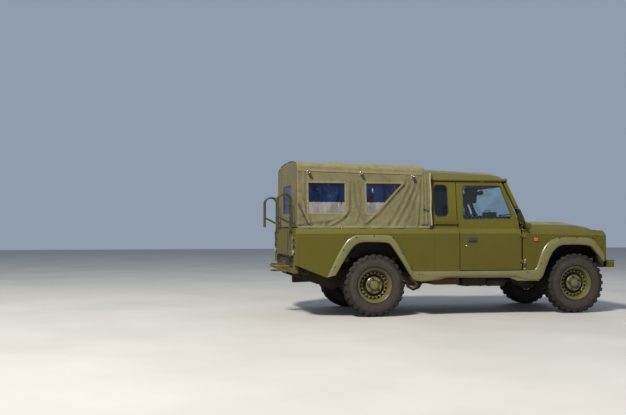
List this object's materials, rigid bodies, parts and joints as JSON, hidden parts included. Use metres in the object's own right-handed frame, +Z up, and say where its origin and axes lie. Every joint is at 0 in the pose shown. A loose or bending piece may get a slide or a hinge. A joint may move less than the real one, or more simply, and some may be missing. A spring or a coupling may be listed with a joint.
{
  "type": "light military cargo truck with a canvas-covered bed",
  "caption": "Light four-wheel-drive military cargo truck with an extended cab, opening doors, steering front wheels and a canvas-covered cargo bed.",
  "frame": {"origin": "on the ground, on the centre plane, at the middle of the length", "axes": "+X forward, +Y to the left of the vehicle, +Z up"},
  "size_m": [4.631, 2.03, 2.032],
  "materials": {
    "green_paint": "satin olive green paint, dusty",
    "dark_steel": "black chassis paint with dust",
    "bare_steel": "worn bare steel",
    "tyre_rubber": "dusty tyre rubber",
    "black_plastic": "matt black plastic",
    "canvas": "olive khaki cotton canvas",
    "seat_cloth": "dark seat cloth",
    "clear_glass": "clear automotive glass",
    "clear_vinyl": "clouded clear vinyl",
    "lamp_lens": "coloured lamp lens",
    "lamp_clear": "clear lamp lens"
  },
  "bodies": {
    "chassis": {"frame": "dark_steel", "front_axle": "dark_steel", "rear_axle": "dark_steel", "springs": "dark_steel", "spring_towers": "dark_steel", "links": "dark_steel", "engine_block": "dark_steel", "gearbox": "bare_steel", "propshafts": "dark_steel", "fuel_tank": "dark_steel", "exhaust": "bare_steel", "sills": "green_paint", "cab_floor": "green_paint", "crossmembers": "dark_steel", "inner_wings": "green_paint", "wheel_boxes": "green_paint", "headboard": "green_paint", "bulkhead": "green_paint", "dashboard": "black_plastic", "seats": "seat_cloth", "steering_wheel": "black_plastic", "wings": "green_paint", "front_panel": "green_paint", "headlamps": "lamp_clear", "marker_lamps": "lamp_lens", "front_bumper": "green_paint", "windscreen_frame": "green_paint", "cab_glass": "clear_glass", "roof": "green_paint", "cab_sides": "green_paint", "cab_back": "green_paint", "flares": "green_paint", "bed_floor": "green_paint", "bed_sides": "green_paint", "tail_lamps": "lamp_lens", "canopy_hoops": "green_paint", "canopy": "canvas", "canopy_windows": "clear_vinyl", "tow_hitch": "green_paint"},
    "bonnet": {"bonnet": "green_paint"},
    "tailgate": {"tailgate": "green_paint", "step_hoops": "green_paint"},
    "door_left": {"door_left": "green_paint", "door_glass_left": "clear_glass", "mirror_left": "black_plastic"},
    "door_right": {"door_right": "green_paint", "door_glass_right": "clear_glass", "mirror_right": "black_plastic"},
    "knuckle_left": {"knuckle_left": "dark_steel"},
    "knuckle_right": {"knuckle_right": "dark_steel"},
    "track_rod": {"track_rod": "dark_steel"},
    "wheel_front_left": {"tyre_front_left": "tyre_rubber", "rim_front_left": "green_paint"},
    "wheel_front_right": {"tyre_front_right": "tyre_rubber", "rim_front_right": "green_paint"},
    "wheel_rear_left": {"tyre_rear_left": "tyre_rubber", "rim_rear_left": "green_paint"},
    "wheel_rear_right": {"tyre_rear_right": "tyre_rubber", "rim_rear_right": "green_paint"}
  },
  "joints": [
    {"name": "steer_left", "type": "hinge", "parent": "chassis", "child": "knuckle_left", "pos_m": [1.7255, 0.6, 0.403], "axis": [0, 0, 1], "range_deg": [-30, 30]},
    {"name": "steer_right", "type": "hinge", "parent": "chassis", "child": "knuckle_right", "pos_m": [1.7255, -0.6, 0.403], "axis": [0, 0, 1], "range_deg": [-30, 30]},
    {"name": "track_rod_link", "type": "hinge", "parent": "knuckle_left", "child": "track_rod", "pos_m": [1.5355, 0.6, 0.3367], "axis": [0, 0, 1], "range_deg": [-30, 30]},
    {"name": "spin_front_left", "type": "hinge", "parent": "knuckle_left", "child": "wheel_front_left", "pos_m": [1.7255, 0.743, 0.403], "axis": [0, 1, 0], "continuous": true},
    {"name": "spin_front_right", "type": "hinge", "parent": "knuckle_right", "child": "wheel_front_right", "pos_m": [1.7255, -0.743, 0.403], "axis": [0, 1, 0], "continuous": true},
    {"name": "spin_rear_left", "type": "hinge", "parent": "chassis", "child": "wheel_rear_left", "pos_m": [-1.0685, 0.743, 0.403], "axis": [0, 1, 0], "continuous": true},
    {"name": "spin_rear_right", "type": "hinge", "parent": "chassis", "child": "wheel_rear_right", "pos_m": [-1.0685, -0.743, 0.403], "axis": [0, 1, 0], "continuous": true},
    {"name": "door_left_hinge", "type": "hinge", "parent": "chassis", "child": "door_left", "pos_m": [0.9275, 0.904, 0.9], "axis": [0, 0, -1], "range_deg": [0, 62]},
    {"name": "door_right_hinge", "type": "hinge", "parent": "chassis", "child": "door_right", "pos_m": [0.9275, -0.904, 0.9], "axis": [0, 0, 1], "range_deg": [0, 62]},
    {"name": "bonnet_hinge", "type": "hinge", "parent": "chassis", "child": "bonnet", "pos_m": [1.1055, 0, 1.246], "axis": [0, -1, 0], "range_deg": [0, 50]},
    {"name": "tailgate_hinge", "type": "hinge", "parent": "chassis", "child": "tailgate", "pos_m": [-2.1255, 0, 0.774], "axis": [0, -1, 0], "range_deg": [0, 90]}
  ],
  "couplings": [
    {"joint": "steer_right", "follows": "steer_left", "ratio": 1},
    {"joint": "track_rod_link", "follows": "steer_left", "ratio": -1}
  ]
}
